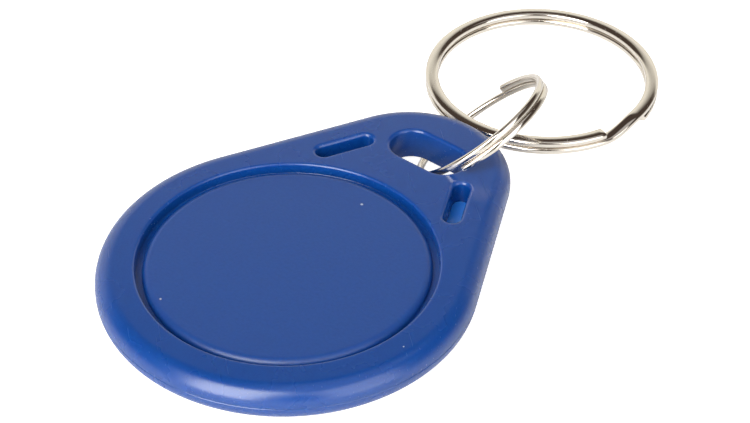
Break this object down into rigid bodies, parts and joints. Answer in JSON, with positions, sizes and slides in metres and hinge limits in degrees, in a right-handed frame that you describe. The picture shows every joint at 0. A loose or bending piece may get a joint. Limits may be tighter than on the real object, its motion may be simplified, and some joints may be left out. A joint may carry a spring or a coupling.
{
  "type": "rfid key fob tag",
  "caption": "Drop-shaped plastic radio tag with a sealed coil and chip, a slotted tip, a small split ring through the slot and a larger split key ring.",
  "frame": {"origin": "on the flat back face, under the middle of the round face disc", "axes": "+X across the fob, +Y along it towards the key ring, +Z out of the face"},
  "size_m": [0.032, 0.0637, 0.01],
  "materials": {
    "shell_plastic": "satin moulded blue",
    "enamelled_copper": "enamelled copper wire",
    "glue": "milky hot glue",
    "laminate": "green laminate",
    "pad_metal": "gold-flashed copper",
    "silicon": "polished grey",
    "bond_metal": "bright",
    "black_resin": "glossy black resin",
    "solder": "bright solder",
    "ring_metal": "bright nickel plate"
  },
  "bodies": {
    "fob": {"front_shell": "shell_plastic", "back_shell": "shell_plastic", "antenna_coil": "enamelled_copper", "coil_glue": "glue", "chip_board": "laminate", "contact_pad_left": "pad_metal", "contact_pad_right": "pad_metal", "chip_die": "silicon", "bond_wire_left": "bond_metal", "bond_wire_right": "bond_metal", "glob_top": "black_resin", "solder_joint_left": "solder", "solder_joint_right": "solder"},
    "link_ring": {"link_ring": "ring_metal"},
    "key_ring": {"key_ring": "ring_metal"}
  },
  "joints": [
    {"name": "link_ring_tip", "type": "hinge", "parent": "fob", "child": "link_ring", "pos_m": [0.002, 0.02, 0.00155], "axis": [0, -1, 0], "range_deg": [-2, 100]},
    {"name": "key_ring_swing", "type": "hinge", "parent": "link_ring", "child": "key_ring", "pos_m": [-0.00018, 0.0262, 0.0012], "axis": [1, 0, 0], "range_deg": [-120, 120]}
  ]
}
